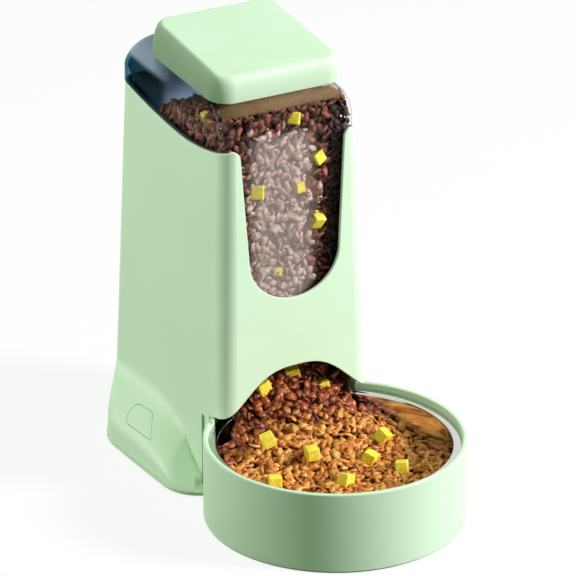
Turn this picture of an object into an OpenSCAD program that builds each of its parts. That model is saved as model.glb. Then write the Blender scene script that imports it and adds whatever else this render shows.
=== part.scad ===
// Gravity pet feeder: a tapered tower on flared feet, a clear food hopper,
// a sloping lid, and a round bowl tray in front with a loose steel bowl.
// Millimetres. Z is up, the bowl is at -Y, and the origin is under the
// middle of the whole feeder, at the bottom of its rubber feet.

/* [Tower] */
// Width across the tower's flat sides, measured at the ground
tower_w = 123; // [120:1:126]
// Depth of the tower from front to back, measured at the ground
tower_d = 165; // [162:1:168]
// Lean of every outside wall of the tower, in degrees
draft = 1.95; // [1.7:0.05:2.2]
// Height of the shell's rim at its lowest point
rim_h = 247.5; // [243:0.5:250]
// How much higher the rim is at the back
rim_rise = 19; // [14:1:22]
// How much higher the rim is at the front
rim_front = 6.5; // [3:0.5:8]
// Wall of the tower shell
wall = 2.6; // [2.2:0.1:3]
// Radius of the tower's upright corners
corner_r = 12; // [10:0.5:14]

/* [Flared feet] */
// Width across both flared feet
foot_w = 164; // [160:1:168]
// Height at which the flare has run out into the side wall
foot_h = 52; // [48:1:56]
// Corner radius of the feet at the back, in plan
foot_r = 48; // [42:1:52]

/* [Window and arch] */
// Width of the window at the rim
window_w = 81; // [76:1:84]
// Width of the window where its round end begins
window_w2 = 71; // [66:1:74]
// Height of the lowest point of the window
window_z = 141; // [136:1:146]
// Height of the window's round end
window_end = 32; // [26:1:36]
// Height of the top of the feed arch
arch_z = 91; // [86:1:93]
// Height of the front wall's bottom edge beside the arch
arch_foot_z = 60.5; // [60:0.5:62]
// Distance from the middle to where the arch runs out level
arch_half = 62; // [60:1:63]

/* [Bowl tray] */
// How far the bowl ring reaches back behind the plane of the tower's front
ring_reach = 43; // [40:0.5:46]
// Outside diameter of the bowl ring
ring_d = 180; // [176:1:184]
// Height of the ring's rim
ring_h = 58; // [55:0.5:60]
// Wall of the ring
ring_wall = 3.5; // [3:0.1:4]
// Depth of the bowl's seat below the rim
seat_depth = 5.3; // [4:0.1:6.5]
// Thickness of the base plate
base_t = 2.5; // [2.2:0.1:3]
// Width of the ledge that the base plate shows round the feet
ledge = 1; // [0.6:0.1:1.6]

/* [Steel bowl] */
// Width of the bowl's flat rim
bowl_rim = 6.2; // [5:0.1:7.5]
// Depth of the bowl from its rim to its inside bottom
bowl_deep = 43; // [36:1:44]
// Thickness of the steel sheet
sheet = 0.9; // [0.7:0.1:1.2]

/* [Hopper] */
// Wall of the clear hopper
hopper_wall = 2; // [1.6:0.1:2.4]
// Height of the hopper's top above the rim, at the front wall's plane
deck_rise = 33.5; // [31:0.1:36]
// Slope of the hopper's top and of the lid's bottom edge, in degrees
tilt = 6; // [5:0.5:7]
// Height of the hopper's outlet
outlet_z = 98; // [97:0.5:102]
// How far the rounded shoulders reach inward
shoulder_in = 12; // [10:1:14]
// How far the rounded shoulders reach down
shoulder_down = 20; // [14:1:21]

/* [Lid] */
// How far the lid's sides stand in from the tower's sides
lid_in = 1.4; // [1:0.1:3]
// Length of the lid along its slope
lid_l = 100; // [96:0.5:101]
// Height of the lid at its front edge
lid_h = 18.5; // [17:0.5:22]
// How much more the lid's top slopes than its bottom edge, in degrees
lid_wedge = 3.7; // [2:0.1:5]
// Radius of the lid's upper edge
lid_edge = 6; // [4:0.5:7]
// Radius of the lid's corners in plan
lid_corner = 17; // [14:1:18]
// Wall of the lid
lid_wall = 2.2; // [1.8:0.1:2.6]

/* [Release buttons] */
// Length of a button's face, front to back
button_l = 36; // [32:1:40]
// Height of a button's face
button_h = 12.5; // [11:0.5:14]
// Height of a button's middle line
button_z = 29.5; // [28:0.1:30.5]
// Clear gap round a button's face
button_gap = 0.5; // [0.4:0.1:0.8]
// Wire of the return spring
wire = 0.8; // [0.6:0.1:1]

/* [Rubber feet] */
// Diameter of a rubber foot
pad_d = 14; // [10:1:16]
// How far a rubber foot stands out below the base
pad_out = 1.2; // [1:0.1:1.5]

/* [Part to show] */

/* [Hidden] */

mint = [0.80, 0.93, 0.76];
steel = [0.80, 0.81, 0.82];
clear_blue = [0.62, 0.70, 0.78];
rubber = [0.25, 0.27, 0.26];
silicone = [0.88, 0.90, 0.88];

eps = 0.05;
lean = tan(draft);

// Plan positions shared by the pieces
length = ring_d + tower_d - ring_reach;
ring_r = ring_d / 2;
ring_y = ring_r - length / 2;
back_y = length / 2;
front_y = back_y - tower_d;

// Heights shared by the pieces
plate_z = pad_out;
floor_z = plate_z + base_t;
seat_z = ring_h - seat_depth;
slope = tan(tilt);
deck_h = rim_h + deck_rise;
lid_w = 2 * (tower_w / 2 - deck_h * lean - lid_in);

// Outside walls of the tower at height z: half width, front and back
function side_x(z) = tower_w / 2 - z * lean;
function front_at(z) = front_y + z * lean;
function back_at(z) = back_y - z * lean;

// Share of the flare that is left at the share t of the flare's height
function fade(t) = t <= 0.25 ? 1 : t >= 1 ? 0 : (1 + cos(180 * (t - 0.25) / 0.75)) / 2;

// Where the release mechanism sits across the tower. The feed chute between
// the two sides keeps clear of it.
button_r = button_h / 2;
button_cover = 5.63;
button_top = button_z + button_r;
flange_x = side_x(button_top) + (foot_w / 2 - side_x(button_top)) * fade(button_top / foot_h) - button_cover;
flange_t = 1.6;
plate_x = flange_x - 10.2;
plate_t = 2;
stem_out = 0.5;
screw_head = 1.8;
chute_clear = 2.7;
chute_gap = 0.6;
cheek_t = 2;

function arc(cx, cy, r, a0, a1, n) =
  [for (i = [0:n]) [cx + r * cos(a0 + (a1 - a0) * i / n), cy + r * sin(a0 + (a1 - a0) * i / n)]];

// A closed outline from its right half, front to back, then the left half
function both(h) = concat(h, [for (i = [len(h) - 1:-1:0]) [for (k = [0:len(h[i]) - 1]) (k == 0 ? -1 : 1) * h[i][k]]]);

// Solid between closed outlines of equal length, listed from the bottom up
module loft(rings) {
  n = len(rings[0]);
  m = len(rings);
  polyhedron(
    points = [for (r = rings) each r],
    faces = concat(
      [[for (i = [0:n - 1]) i]],
      [for (k = [0:m - 2], i = [0:n - 1]) [k * n + i, (k + 1) * n + i, (k + 1) * n + (i + 1) % n]],
      [for (k = [0:m - 2], i = [0:n - 1]) [k * n + i, (k + 1) * n + (i + 1) % n, k * n + (i + 1) % n]],
      [[for (i = [n - 1:-1:0]) (m - 1) * n + i]]),
    convexity = 8);
}

// Extrudes a Y-Z outline along X, from x0 to x1
module along_x(x0, x1) {
  translate([x0, 0, 0])
    rotate([90, 0, 90])
      linear_extrude(x1 - x0)
        children();
}

// Extrudes an X-Z outline along Y, from y0 to y1
module along_y(y0, y1) {
  translate([0, y1, 0])
    rotate([90, 0, 0])
      linear_extrude(y1 - y0)
        children();
}

// Tower

// The flared foot's plan, front to back: the point at full flare, the y of
// the same point on the plain side wall, and the share of the flare's height
// that is reached there. The flare starts behind the bowl ring, turns a round
// corner, and rises along the side to its full height.
foot_cx = tower_w / 2 - 6.5;
foot_front_r = foot_w / 2 - foot_cx;
foot_cy = front_y + 43;
foot_turn = 50;
flare_low = 0.3;
flare_side = 0.65;
flare_full_y = back_y - 65;
function foot_corner(a) = [foot_cx + foot_front_r * cos(a), foot_cy + foot_front_r * sin(a)];
foot_tip = foot_corner(-foot_turn);
function toward_tip(k) = k * foot_tip[0] + (1 - k) * tower_w / 2;
foot_path = concat(
  [for (y = [foot_cy - 21, foot_cy - 12]) [[0, y], y, flare_low]],
  [[[toward_tip(0.3), foot_tip[1] + 7], foot_cy - 6, flare_low],
   [[toward_tip(0.6), foot_tip[1] + 3.5], foot_cy - 3.5, flare_low]],
  [for (i = [0:5]) let (k = i / 5)
    [foot_corner(-foot_turn * (1 - k)), foot_cy - 1 + 12 * k, flare_low + (flare_side - flare_low) * pow(k, 1.3)]],
  [for (i = [1:4]) let (k = i / 4, y = foot_cy + (flare_full_y - foot_cy) * k)
    [[foot_w / 2, y], y + 11 * (1 - k), 1 - (1 - flare_side) * pow(1 - k, 2)]]);

// The share of a flare's own height at each level of the flared part
flare_levels = [0, 0.14, 0.26, 0.37, 0.47, 0.56, 0.65, 0.74, 0.83, 0.92, 1];

function flat_ring(pts, z) = [for (p = pts) [p[0], p[1], z]];

// Moves a half outline inward by t, square to its own run
function set_in(h, t) = [for (i = [0:len(h) - 1])
  let (
    a = i > 0 ? h[i - 1] : [-h[0][0], h[0][1]],
    b = i < len(h) - 1 ? h[i + 1] : [-h[i][0], h[i][1]],
    d = [b[0] - a[0], b[1] - a[1]] / norm([b[0] - a[0], b[1] - a[1]]))
  [h[i][0] - t * d[1], h[i][1] + t * d[0], h[i][2]]];

// One level of the flared part, set in by t
function flared_ring(level, z0, t) = let (
    zf = z0 + (foot_h - z0) * level,
    s = fade(zf / foot_h),
    bw = side_x(zf) + (foot_w / 2 - side_x(zf)) * s,
    br = corner_r + (foot_r - corner_r) * s)
  both(set_in(concat(
    flat_ring(arc(side_x(zf) - corner_r, front_at(zf) + corner_r, corner_r, -90, 0, 5), zf),
    [for (p = foot_path)
      let (
        z = z0 + (foot_h * p[2] - z0) * level,
        share = fade(z / (foot_h * p[2])),
        w = side_x(z))
      [w + max(p[0][0] - w, 0) * share, p[1] + (p[0][1] - p[1]) * share, z]],
    flat_ring(arc(bw - br, back_at(zf) - br, br, 0, 90, 8), zf)), t));

// The plain tapered part at the height z, in the same order of points
function plain_ring(z, t) =
  both(set_in(flat_ring(concat(
    arc(side_x(z) - corner_r, front_at(z) + corner_r, corner_r, -90, 0, 5),
    [for (p = foot_path) [side_x(z), p[1]]],
    arc(side_x(z) - corner_r, back_at(z) - corner_r, corner_r, 0, 90, 8)), z), t));

tower_top = rim_h + rim_rise + 5;

// The tower's outside, set in by t, from height z0 to z1
module tower_form(t, z0, z1) {
  loft(concat(
    [for (level = flare_levels) flared_ring(level, z0, t)],
    [plain_ring(z1, t)]));
}

// Height of the shell's rim at the depth y
rim_turn = front_y + 59;
rim_low_y = front_at(rim_h);
function rim_at(y) = rim_h
  + rim_rise * pow(max(0, (y - rim_turn) / (back_y - rim_turn)), 1.5)
  + rim_front * pow(max(0, (rim_turn - y) / (rim_turn - rim_low_y)), 2);

// Everything above the rim, as a side view
module rim_cut() {
  ys = concat(
    [for (i = [0:5]) rim_low_y + i * (rim_turn - rim_low_y) / 6],
    [for (i = [0:20]) rim_turn + i * (back_y + 3 - rim_turn) / 20]);
  along_x(-tower_w, tower_w)
    polygon(concat(
      [[front_y - 5, rim_h + rim_front]],
      [for (y = ys) [y, rim_at(y)]],
      [[back_y + 3, tower_top + 5], [front_y - 5, tower_top + 5]]));
}

// The window: straight flared sides, a round lower end, and corners that
// turn outward into the rim
window_corner = 6;
module window_cut() {
  end_z = window_z + window_end;
  half = concat(
    [for (i = [0:9]) [window_w2 / 2 * sin(10 * i), end_z - window_end * cos(10 * i)]],
    arc(window_w / 2 + window_corner, rim_h + rim_front - window_corner, window_corner, 180, 90, 5),
    [[window_w / 2 + window_corner, tower_top + 5]]);
  along_y(front_y - 5, front_at(rim_h) + 8)
    polygon(concat(half, [for (i = [len(half) - 1:-1:1]) [-half[i][0], half[i][1]]]));
}

// The bell-shaped feed arch, which runs out level to both front corners
function arch_at(x) = arch_foot_z + (arch_z - arch_foot_z) * (1 + cos(180 * pow(min(1, x / arch_half), 1.45))) / 2;
arch_deep = corner_r + 5;
module arch_cut() {
  half = concat([for (i = [0:14]) [arch_half * i / 14, arch_at(arch_half * i / 14)]], [[tower_w, arch_foot_z], [tower_w, 0]]);
  along_y(front_y - wall, front_y + arch_deep)
    polygon(concat(half, [for (i = [len(half) - 1:-1:1]) [-half[i][0], half[i][1]]]));
}

// Space for the bowl ring, which the tower's side walls end against
ring_gap = 0.4;
module ring_space() {
  translate([0, ring_y, 0])
    cylinder(r = ring_r + ring_gap, h = ring_h + ring_gap, $fn = 96);
}

module tower_shell() {
  color(mint)
    union() {
      difference() {
        tower_form(0, floor_z - 2, tower_top);
        tower_form(wall, floor_z - 3, tower_top + 1);
        translate([-foot_w, -length, floor_z - foot_h])
          cube([2 * foot_w, 2 * length, foot_h]);
        rim_cut();
        window_cut();
        arch_cut();
        ring_space();
        button_side(1) button_hole();
        button_side(-1) button_hole();
      }
      intersection() {
        tower_form(wall / 2, floor_z, foot_h + 10);
        union() {
          button_side(1) retainer_bosses();
          button_side(-1) retainer_bosses();
        }
      }
    }
}

// Base tray with the bowl ring

bowl_r = ring_r - ring_wall - 0.5;
bowl_in_r = bowl_r - bowl_rim;

// Plan of the base plate under the tower
module plate_plan() {
  fr = foot_front_r + ledge;
  br = foot_r + ledge;
  w = foot_w / 2 + ledge;
  y1 = back_y;
  union() {
    translate([-foot_cx, foot_cy - fr])
      square([2 * foot_cx, y1 - foot_cy + fr - br]);
    translate([-w, foot_cy])
      square([2 * w, y1 - br - foot_cy]);
    translate([-(w - br), foot_cy])
      square([2 * (w - br), y1 - foot_cy]);
    for (s = [-1, 1]) {
      translate([s * foot_cx, foot_cy])
        circle(r = fr, $fn = 72);
      translate([s * (w - br), y1 - br])
        circle(r = br, $fn = 96);
    }
  }
}

// Section of the ring: rounded rim, seat for the bowl, and a plain wall
module ring_section() {
  r1 = ring_r;
  r0 = ring_r - ring_wall;
  rr = 1.1;
  seat_w = 4.6;
  polygon(concat(
    [[r1, plate_z]],
    arc(r1 - rr, ring_h - rr, rr, 0, 90, 3),
    arc(r0 + rr, ring_h - rr, rr, 90, 180, 3),
    [[r0, seat_z], [r0 - seat_w, seat_z], [r0 - seat_w, seat_z - 2.2],
     [r0, seat_z - 5.5], [r0, plate_z]]));
}

// Where the rubber feet go: x, y
pad_ring = [48, ring_y - 0.58 * ring_r];
pad_front = [foot_w / 2 - 16, foot_cy + 5];
pad_rear = [foot_w / 2 - 26, back_y - 34];
module pad_spots() {
  for (p = [pad_ring, pad_front, pad_rear], s = [-1, 1])
    translate([s * p[0], p[1], 0])
      children();
}

tab_h = 7;
module base_tray() {
  color(mint)
    difference() {
      union() {
        translate([0, 0, plate_z])
          linear_extrude(base_t)
            union() {
              plate_plan();
              translate([0, ring_y])
                circle(r = ring_r - 0.6, $fn = 96);
            }
        difference() {
          translate([0, ring_y, 0])
            rotate_extrude($fn = 96)
              ring_section();
          translate([-inner_x, 0, seat_z])
            cube([2 * inner_x, 40, 20]);
        }
        for (s = [-1, 1])
          translate([s * 26 - 9, back_at(floor_z) - wall - 3, floor_z - eps])
            cube([18, 2.4, tab_h]);
        button_side(1) latch_post();
        button_side(-1) latch_post();
      }
      pad_spots()
        translate([0, 0, -1])
          cylinder(d = pad_d, h = 1 + 2 * pad_out, $fn = 40);
    }
}

inner_x = side_x(ring_h) - wall - 0.3;

module steel_bowl() {
  bottom_z = seat_z - bowl_deep;
  top_r = bowl_in_r;
  low_r = top_r - 8;
  bend = 9;
  inside = concat(
    [[bowl_r, seat_z + sheet], [top_r + 1, seat_z + sheet], [top_r, seat_z + sheet - 1]],
    arc(low_r - bend, bottom_z + sheet + bend, bend, -10, -90, 4),
    [[0, bottom_z + sheet]]);
  outside = concat(
    [[0, bottom_z]],
    arc(low_r - bend, bottom_z + bend + sheet, bend + sheet, -90, -10, 4),
    [[top_r + sheet, seat_z - 1], [top_r + 1 + sheet, seat_z], [bowl_r, seat_z]]);
  color(steel)
    translate([0, ring_y, 0])
      rotate_extrude($fn = 96)
        polygon(concat(inside, outside));
}

// Hopper

hopper_gap = 0.4;
outlet_x = plate_x - plate_t - screw_head - chute_clear - cheek_t - chute_gap;
outlet_back = front_y + 71;
neck_z = outlet_z + 6;

// The hopper drops in from above and hangs by a ledge on the shell's rim,
// so its walls inside the shell stay within the opening at the rim
rim_back = rim_h + rim_rise;
hop_in_x = side_x(rim_back) - wall - hopper_gap;
hop_in_y = back_at(rim_back) - wall - hopper_gap;
hop_y0 = front_at(rim_h + rim_front) + wall + hopper_gap;
hop_r = corner_r - wall - hopper_gap;
flush = 0.6;
ledge_gap = 0.3;
ledge_lean = 0.2;

function deck_at(y) = deck_h + slope * (y - hop_y0);
function hop_x(z) = min(hop_in_x - max(0, rim_h - z) * hop_draft, outlet_x + max(0, z - neck_z) * funnel_side);
function hop_back(z) = min(hop_in_y, outlet_back + max(0, z - neck_z) * funnel_back);

// Slopes of the funnel's sides and back, and the draft of the store above it
funnel_side = 0.18;
funnel_back = 1;
hop_draft = 0.008;
funnel_mid = neck_z + 54;
funnel_top = neck_z + 86;

// Plan of the hopper from its half width, back and front, with the corner
// radii of the front and the back. The side has points of its own, so that
// it can follow the rim.
function hop_plan(x1, yb, yf, rf, rb) = both(concat(
  arc(x1 - rf, yf + rf, rf, -90, 0, 5),
  [for (i = [1:9]) [x1, yf + rf + (yb - rb - yf - rf) * i / 10]],
  arc(x1 - rb, yb - rb, rb, 0, 90, 7)));

// Outline inside the shell, and outline above the rim, set in by t
function hop_low(z, t) = hop_plan(hop_x(z) - t, hop_back(z) - t, hop_y0 + t, hop_r - t, hop_r - t);
function hop_high(z, t, inset, rb) = hop_plan(
  side_x(z) - flush - t - inset,
  back_at(z + 6) - flush - t - inset,
  hop_y0 + t + inset / 2,
  hop_r - t + inset / 3,
  rb - t);

function on_rim(pts, lift) = [for (p = pts) [p[0], p[1], rim_at(p[1]) + lift]];
function on_slope(pts, h) = [for (p = pts) [p[0], p[1], deck_at(p[1]) + h]];

// Back corner radius of the hopper at the share of the shoulder
function back_radius(a) = hop_r + 19 * a / 90;
shoulder_angles = [0, 17, 33, 48, 64, 90];

module hopper_form(t, z0, drop) {
  rim_z = ledge_gap + drop;
  loft(concat(
    [for (z = [z0, neck_z, funnel_mid, funnel_top]) flat_ring(hop_low(z, t), z)],
    [on_rim(hop_low(rim_h, t), rim_z - ledge_lean)],
    [on_rim(hop_high(rim_h + 8, t, 0, hop_r), rim_z)],
    [for (a = shoulder_angles)
      let (h = -shoulder_down * (1 - sin(a)) - drop)
        on_slope(hop_high(deck_h + h, t, shoulder_in * (1 - cos(a)), back_radius(a)), h)]));
}

// The sloping frame that the lid and the neck are made in
lid_y = front_y + 72.5;
module on_deck() {
  translate([0, lid_y, deck_at(lid_y)])
    rotate([tilt, 0, 0])
      children();
}

module rounded(w, l, r) {
  union() {
    square([w - 2 * r, l], center = true);
    square([w, l - 2 * r], center = true);
    for (sx = [-1, 1], sy = [-1, 1])
      translate([sx * (w / 2 - r), sy * (l / 2 - r)])
        circle(r = r, $fn = 32);
  }
}

neck_w = 2 * (hop_in_x - 8);
neck_l = lid_l - 18;
neck_h = 10;
neck_corner = lid_corner - 4;

module hopper() {
  color(clear_blue, 0.5)
    difference() {
      union() {
        difference() {
          hopper_form(0, outlet_z, 0);
          hopper_form(hopper_wall, outlet_z - 1, hopper_wall);
        }
        on_deck()
          translate([0, 0, -1.6])
            linear_extrude(neck_h + 1.6)
              rounded(neck_w, neck_l, neck_corner);
      }
      on_deck()
        translate([0, 0, -8])
          linear_extrude(neck_h + 10)
            rounded(neck_w - 2 * hopper_wall, neck_l - 2 * hopper_wall, neck_corner - hopper_wall);
    }
}

// Feed chute under the outlet

cheek_x = outlet_x + chute_gap;
cheek_front = front_at(neck_z) + wall + 0.8;
cheek_back = outlet_back + 47;
ramp_t = 2;
lip_z = seat_z + sheet + 3;
lip_y = ring_y + sqrt(bowl_in_r * bowl_in_r - cheek_x * cheek_x) - 3;
ramp_y = outlet_back + chute_gap;
ramp_z = outlet_z - chute_gap;
leg_y = ring_y + ring_r + 4;

// Height of the ramp's upper face at the depth y
function ramp_at(y) = lip_z + ramp_t + (ramp_z - lip_z - ramp_t) * (y - lip_y) / (ramp_y - lip_y);

module feed_chute() {
  color(mint)
    union() {
      for (s = [-1, 1])
        along_x(s > 0 ? cheek_x : -cheek_x - cheek_t, s > 0 ? cheek_x + cheek_t : -cheek_x)
          polygon([
            [cheek_front, lip_z], [leg_y, lip_z], [leg_y, floor_z],
            [cheek_back, floor_z], [cheek_back - 6, neck_z], [cheek_front, neck_z]]);
      along_x(-cheek_x - eps, cheek_x + eps)
        polygon([
          [lip_y, lip_z], [lip_y, lip_z + ramp_t], [ramp_y, ramp_z], [ramp_y, neck_z - 1],
          [ramp_y + ramp_t, neck_z - 1], [ramp_y + ramp_t, ramp_at(ramp_y) - 1.3 * ramp_t],
          [lip_y + 3, lip_z]]);
      along_x(-cheek_x - eps, cheek_x + eps)
        polygon([
          [leg_y, floor_z], [leg_y + ramp_t, floor_z],
          [leg_y + ramp_t, ramp_at(leg_y) - ramp_t / 2], [leg_y, ramp_at(leg_y) - ramp_t / 2]]);
    }
}

// Lid

function rect_pts(w, l, r) = both(concat(
  arc(w / 2 - r, -(l / 2 - r), r, -90, 0, 6),
  arc(w / 2 - r, l / 2 - r, r, 0, 90, 6)));
// A ring of the lid, set in, at the height h, and w times as steep as its top
function lid_ring(inset, h, w) = [
  for (p = rect_pts(lid_w - 2 * inset, lid_l - 2 * inset, max(lid_corner - inset, 4)))
    [p[0], p[1], h + w * tan(lid_wedge) * (p[1] + lid_l / 2)]];

lid_gap = 0.3;
lid_draft = 1.8;
lid_ceiling = lid_h - lid_wall;

module lid_cover() {
  color(mint)
    on_deck()
      union() {
        difference() {
          loft(concat(
            [lid_ring(0, lid_gap, 0)],
            [for (a = [0, 25, 50, 72, 90])
              lid_ring(lid_draft + lid_edge * (1 - cos(a)), lid_h - lid_edge * (1 - sin(a)), 1)],
            [lid_ring(22, lid_h + 0.7, 1)]));
          loft([
            lid_ring(lid_wall, lid_gap - 1, 0),
            lid_ring(lid_wall + lid_draft, lid_h - lid_edge, 1),
            lid_ring(lid_wall + lid_draft + 2, lid_h - 4, 1),
            lid_ring(lid_wall + lid_draft + 5, lid_ceiling, 1)]);
        }
        // Weld pips between the cover and its liner
        for (sx = [-1, 1], y = [-pip_y, pip_y])
          translate([sx * (plug_w / 2 - 10), y, lid_ceiling])
            cylinder(r = 3, h = tan(lid_wedge) * (y + lid_l / 2) + lid_wall / 2, $fn = 24);
      }
}

plug_w = neck_w - 2 * hopper_wall - 2.8;
plug_l = neck_l - 2 * hopper_wall - 2.8;
plug_corner = neck_corner - hopper_wall - 1.4;
pip_y = plug_l / 2 - 10;
groove = 0.8;
seal_z = 3;
seal_h = 3;

module plug_ring(grow, t, z0, z1) {
  translate([0, 0, z0])
    linear_extrude(z1 - z0)
      difference() {
        rounded(plug_w + 2 * grow, plug_l + 2 * grow, plug_corner + grow);
        rounded(plug_w + 2 * grow - 2 * t, plug_l + 2 * grow - 2 * t, plug_corner + grow - t);
      }
}

module lid_liner() {
  color(mint)
    on_deck()
      union() {
        translate([0, 0, lid_ceiling - 2])
          linear_extrude(2)
            rounded(plug_w, plug_l, plug_corner);
        plug_ring(0, 2.2, seal_z + seal_h, lid_ceiling - 1);
        plug_ring(-groove, 2.2 - groove, seal_z - 1, seal_z + seal_h + 1);
        plug_ring(0, 2.2, -3, seal_z);
      }
}

module lid_seal() {
  color(silicone)
    on_deck()
      plug_ring(1.2, 1.2 + groove, seal_z, seal_z + seal_h);
}

// Release buttons

button_front = foot_cy + 31;
button_back = button_front + button_l;
button_mid = (button_front + button_back) / 2;
stem_r = 2.4;
button_slant = 14;
screw_r = 1.3;
screw_l = 8;
boss_r = 3.6;
boss_l = 26;
plate_edge = 6;
screw_y = [button_front - 9, button_back + 7];
hook_w = 14;
post_x = flange_x + 5.8;
hook_z = floor_z + 2.5;
hook_lip = 2.6;
post_ledge_z = hook_z + hook_lip + 0.4;

// The mechanism is made for the right side and mirrored for the left
module button_side(s) {
  if (s > 0)
    children();
  else
    mirror([1, 0, 0])
      children();
}

// Outline of a button: a leaning front end, and round at the back
module button_outline(grow) {
  z0 = button_z - button_r - grow;
  z1 = button_z + button_r + grow;
  lean_y = button_slant / button_h;
  edge_y = norm([button_slant, button_h]) / button_h;
  union() {
    polygon([
      [button_front - grow * (edge_y + lean_y), z0],
      [button_back - button_r, z0],
      [button_back - button_r, z1],
      [button_front + button_slant - grow * (edge_y - lean_y), z1]]);
    translate([button_back - button_r, button_z])
      circle(r = button_r + grow, $fn = 48);
  }
}

module button_hole() {
  along_x(flange_x - 2, foot_w)
    button_outline(button_gap);
}

// Upright pillars on the shell that the spring plate is screwed to
module retainer_bosses() {
  for (y = screw_y)
    translate([plate_x, y, button_z])
      rotate([0, 90, 0])
        difference() {
          cylinder(r = boss_r, h = boss_l, $fn = 28);
          translate([0, 0, -1])
            cylinder(r = screw_r, h = screw_l + 1, $fn = 20);
        }
}

// Post on the base tray whose ledge the button's hook holds
module latch_post() {
  translate([post_x, button_mid - hook_w / 2 - 1, floor_z - eps])
    cube([2, hook_w + 2, post_ledge_z + 2 - floor_z + eps]);
  translate([post_x - 2, button_mid - hook_w / 2 - 1, post_ledge_z])
    cube([2 + eps, hook_w + 2, 2]);
}

module release_button() {
  union() {
    intersection() {
      tower_form(0, floor_z, foot_h + 10);
      along_x(flange_x - eps, foot_w)
        button_outline(0);
    }
    along_x(flange_x - flange_t, flange_x)
      button_outline(1.5);
    translate([plate_x - plate_t - stem_out, button_mid, button_z])
      rotate([0, 90, 0])
        cylinder(r = stem_r, h = flange_x - flange_t - plate_x + plate_t + stem_out + eps, $fn = 28);
    translate([flange_x - flange_t, button_mid - hook_w / 2, hook_z])
      cube([flange_t, hook_w, button_z - button_r - hook_z]);
    translate([flange_x - eps, button_mid - hook_w / 2, hook_z])
      cube([post_x - 2 - flange_x + 1.2 + eps, hook_w, hook_lip]);
  }
}

// A coil of round wire between the spring plate and the button's flange
coil_r = stem_r + 0.5 + wire / 2;
coil_turns = 4;
coil_x0 = plate_x + wire / 2 + 0.05;
coil_x1 = flange_x - flange_t - wire / 2 - 0.05;
module button_spring() {
  n = 12 * coil_turns;
  sides = 6;
  rings = [for (i = [0:n]) let (a = 30 * i, x = coil_x0 + (coil_x1 - coil_x0) * i / n)
    [for (j = [0:sides - 1]) let (q = 60 * j, r = coil_r + wire / 2 * cos(q))
      [x + wire / 2 * sin(q), button_mid + r * cos(a), button_z + r * sin(a)]]];
  loft(rings);
}

module button_retainer() {
  y0 = screw_y[0] - plate_edge;
  y1 = screw_y[1] + plate_edge;
  difference() {
    along_x(plate_x - plate_t, plate_x)
      translate([y0, button_z - button_r - 1.75])
        square([y1 - y0, button_h + 3.5]);
    translate([plate_x - plate_t - 1, button_mid, button_z])
      rotate([0, 90, 0])
        cylinder(r = stem_r + 0.5, h = plate_t + 2, $fn = 32);
    for (y = screw_y)
      translate([plate_x - plate_t - 1, y, button_z])
        rotate([0, 90, 0])
          cylinder(r = screw_r + 0.3, h = plate_t + 2, $fn = 20);
  }
}

module screws_of_a_side() {
  for (y = screw_y)
    translate([plate_x - plate_t, y, button_z])
      rotate([0, 90, 0])
        difference() {
          union() {
            translate([0, 0, -screw_head])
              cylinder(r = 2.8, h = screw_head, $fn = 24);
            translate([0, 0, -eps])
              cylinder(r = screw_r - eps, h = screw_l, $fn = 20);
          }
          for (a = [0, 90])
            rotate([0, 0, a])
              translate([-1.6, -0.3, -2])
                cube([3.2, 0.6, 1.2]);
        }
}

module retainer_screws() {
  color(steel)
    union() {
      button_side(1) screws_of_a_side();
      button_side(-1) screws_of_a_side();
    }
}

module release_button_left() {
  color(mint)
    button_side(-1) release_button();
}

module release_button_right() {
  color(mint)
    button_side(1) release_button();
}

module button_spring_left() {
  color(steel)
    button_side(-1) button_spring();
}

module button_spring_right() {
  color(steel)
    button_side(1) button_spring();
}

module button_retainer_left() {
  color(mint)
    button_side(-1) button_retainer();
}

module button_retainer_right() {
  color(mint)
    button_side(1) button_retainer();
}

// Rubber feet

module pad(p, s) {
  color(rubber)
    translate([s * p[0], p[1], 0])
      union() {
        cylinder(d1 = pad_d - 2.4, d2 = pad_d - 1, h = 0.7, $fn = 40);
        translate([0, 0, 0.7])
          cylinder(d = pad_d - 1, h = 0.9, $fn = 40);
        translate([0, 0, pad_out])
          cylinder(d = pad_d, h = pad_out, $fn = 40);
      }
}

module foot_ring_left() {
  pad(pad_ring, -1);
}

module foot_ring_right() {
  pad(pad_ring, 1);
}

module foot_front_left() {
  pad(pad_front, -1);
}

module foot_front_right() {
  pad(pad_front, 1);
}

module foot_rear_left() {
  pad(pad_rear, -1);
}

module foot_rear_right() {
  pad(pad_rear, 1);
}

base_tray();
steel_bowl();
tower_shell();
hopper();
feed_chute();
lid_cover();
lid_liner();
lid_seal();
release_button_left();
release_button_right();
button_spring_left();
button_spring_right();
button_retainer_left();
button_retainer_right();
retainer_screws();
foot_ring_left();
foot_ring_right();
foot_front_left();
foot_front_right();
foot_rear_left();
foot_rear_right();
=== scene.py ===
import math
import random

import bmesh
import bpy
import numpy as np
from mathutils import Matrix, Vector


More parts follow.
